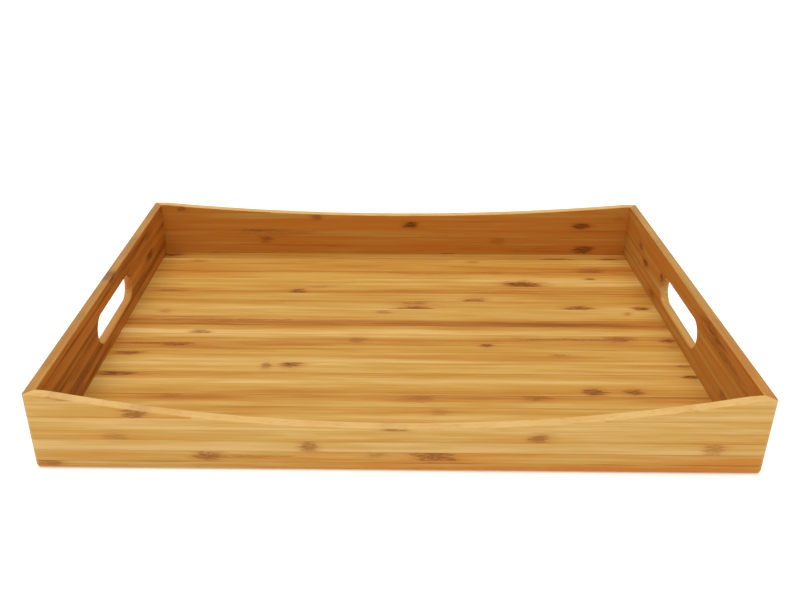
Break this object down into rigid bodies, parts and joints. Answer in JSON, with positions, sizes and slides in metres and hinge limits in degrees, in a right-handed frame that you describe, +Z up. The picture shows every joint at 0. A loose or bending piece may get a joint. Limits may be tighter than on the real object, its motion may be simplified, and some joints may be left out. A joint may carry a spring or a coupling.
{
  "type": "serving tray",
  "caption": "Rectangular bamboo serving tray with mitred walls, a hand slot through each short wall, dipped long rims and an inset strip floor.",
  "frame": {"origin": "middle of the footprint, on the plane that the tray stands on", "axes": "+X along the long side, +Y from the front wall (deeper dip) to the back wall, +Z up"},
  "size_m": [0.46, 0.335, 0.055],
  "materials": {
    "floor_bamboo": "carbonised bamboo, grain along the length, thin satin lacquer",
    "wall_bamboo": "carbonised bamboo strips stacked on edge, thin satin lacquer",
    "key_bamboo": "plain sawn bamboo, hidden in the joint"
  },
  "bodies": {
    "root": {"floor_strip_01": "floor_bamboo", "floor_strip_02": "floor_bamboo", "floor_strip_03": "floor_bamboo", "floor_strip_04": "floor_bamboo", "floor_strip_05": "floor_bamboo", "floor_strip_06": "floor_bamboo", "floor_strip_07": "floor_bamboo", "floor_strip_08": "floor_bamboo", "floor_strip_09": "floor_bamboo", "floor_strip_10": "floor_bamboo", "floor_strip_11": "floor_bamboo", "floor_strip_12": "floor_bamboo", "floor_strip_13": "floor_bamboo", "floor_strip_14": "floor_bamboo", "floor_strip_15": "floor_bamboo", "floor_strip_16": "floor_bamboo", "floor_strip_17": "floor_bamboo", "floor_strip_18": "floor_bamboo", "floor_strip_19": "floor_bamboo", "floor_strip_20": "floor_bamboo", "floor_strip_21": "floor_bamboo", "floor_strip_22": "floor_bamboo", "front_wall_strip_1": "wall_bamboo", "front_wall_strip_2": "wall_bamboo", "front_wall_strip_3": "wall_bamboo", "front_wall_strip_4": "wall_bamboo", "front_wall_strip_5": "wall_bamboo", "front_wall_strip_6": "wall_bamboo", "front_wall_strip_7": "wall_bamboo", "back_wall_strip_1": "wall_bamboo", "back_wall_strip_2": "wall_bamboo", "back_wall_strip_3": "wall_bamboo", "back_wall_strip_4": "wall_bamboo", "back_wall_strip_5": "wall_bamboo", "back_wall_strip_6": "wall_bamboo", "back_wall_strip_7": "wall_bamboo", "left_wall_strip_1": "wall_bamboo", "left_wall_strip_2": "wall_bamboo", "left_wall_strip_3": "wall_bamboo", "left_wall_strip_4": "wall_bamboo", "left_wall_strip_5": "wall_bamboo", "left_wall_strip_6": "wall_bamboo", "left_wall_strip_7": "wall_bamboo", "right_wall_strip_1": "wall_bamboo", "right_wall_strip_2": "wall_bamboo", "right_wall_strip_3": "wall_bamboo", "right_wall_strip_4": "wall_bamboo", "right_wall_strip_5": "wall_bamboo", "right_wall_strip_6": "wall_bamboo", "right_wall_strip_7": "wall_bamboo", "front_left_corner_key": "key_bamboo", "front_right_corner_key": "key_bamboo", "back_left_corner_key": "key_bamboo", "back_right_corner_key": "key_bamboo"}
  },
  "joints": []
}
